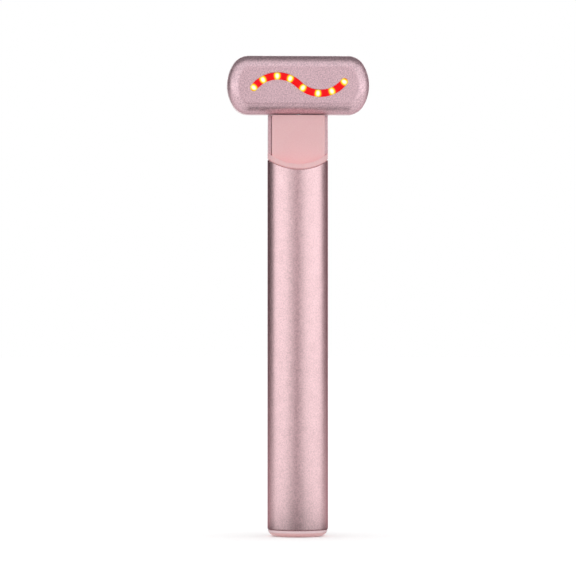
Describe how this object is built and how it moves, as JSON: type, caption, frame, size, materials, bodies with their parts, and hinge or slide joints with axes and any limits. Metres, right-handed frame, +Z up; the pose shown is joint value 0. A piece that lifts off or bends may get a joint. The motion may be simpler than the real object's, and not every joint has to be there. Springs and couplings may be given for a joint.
{
  "type": "heated eye massager wand",
  "caption": "Slim T-shaped heated eye massager wand: round metal handle with a power button at the rear, recessed flat neck, and a swivelling warm face with a wavy red light window.",
  "frame": {"origin": "middle of the flat foot, on the surface that the wand stands on", "axes": "+Z up the handle to the head, -Y out of the lit face of the head, +X to the right of someone who looks at that face"},
  "size_m": [0.0422, 0.018, 0.1427],
  "materials": {
    "rose_anodised_aluminium": "bead-blasted and anodised",
    "rose_metallic_paint": "moulded, metallic paint",
    "pink_moulding": "satin moulding",
    "red_lens": "clear red moulding, lit from behind",
    "seal_rubber": "moulded silicone",
    "steel": "zinc-plated or stainless",
    "bush_brass": "turned",
    "circuit_board": "solder mask",
    "black_moulding": "moulded",
    "white_moulding": "moulded",
    "lead_sheath": "extruded",
    "cell_wrap": "shrink wrap over a steel can",
    "heater_polyimide": "copper track on amber film",
    "sensor_epoxy": "dipped bead",
    "light_source": "lit",
    "clear_pipe": "polished clear moulding"
  },
  "bodies": {
    "handle": {"handle_tube": "rose_anodised_aluminium", "neck_rear_shell": "rose_metallic_paint", "end_cap": "pink_moulding", "neck_core": "pink_moulding", "cap_seal": "seal_rubber", "neck_seal": "seal_rubber", "battery_pad": "seal_rubber", "charge_board_screws": "steel", "main_board_screws": "steel", "neck_screws": "steel", "friction_washer": "steel", "charge_socket": "steel", "swivel_bush": "bush_brass", "charge_board": "circuit_board", "main_board": "circuit_board", "protection_board": "circuit_board", "board_chips": "black_moulding", "tact_switch": "black_moulding", "charge_socket_insert": "black_moulding", "board_plug": "white_moulding", "inner_carrier": "white_moulding", "battery_leads": "lead_sheath", "charge_leads": "lead_sheath", "battery_cell": "cell_wrap", "status_chip": "light_source", "status_light_pipe": "clear_pipe"},
    "head": {"head_front_plate": "rose_anodised_aluminium", "head_rear_shell": "rose_metallic_paint", "head_gasket": "seal_rubber", "light_lens": "red_lens", "heater_film": "heater_polyimide", "heat_sensor": "sensor_epoxy", "light_board": "circuit_board", "light_board_screws": "steel", "head_plug": "white_moulding", "light_chips": "light_source", "motor_pad": "seal_rubber", "vibration_motor": "steel", "swivel_spindle": "steel", "swivel_screws": "steel", "stop_pin": "steel", "swivel_leads": "lead_sheath", "retaining_clip": "steel"},
    "power_button": {"power_button": "pink_moulding", "switch_plunger": "white_moulding"}
  },
  "joints": [
    {"name": "head_swivel", "type": "hinge", "parent": "handle", "child": "head", "pos_m": [0, 0, 0.12515], "axis": [0, 0, 1], "range_deg": [-90, 90]},
    {"name": "power_button_press", "type": "slide", "parent": "handle", "child": "power_button", "axis": [0, -1, 0], "range_m": [0, 0.0004], "stiffness_N_per_m": 3000, "springref_m": -0.0001}
  ]
}
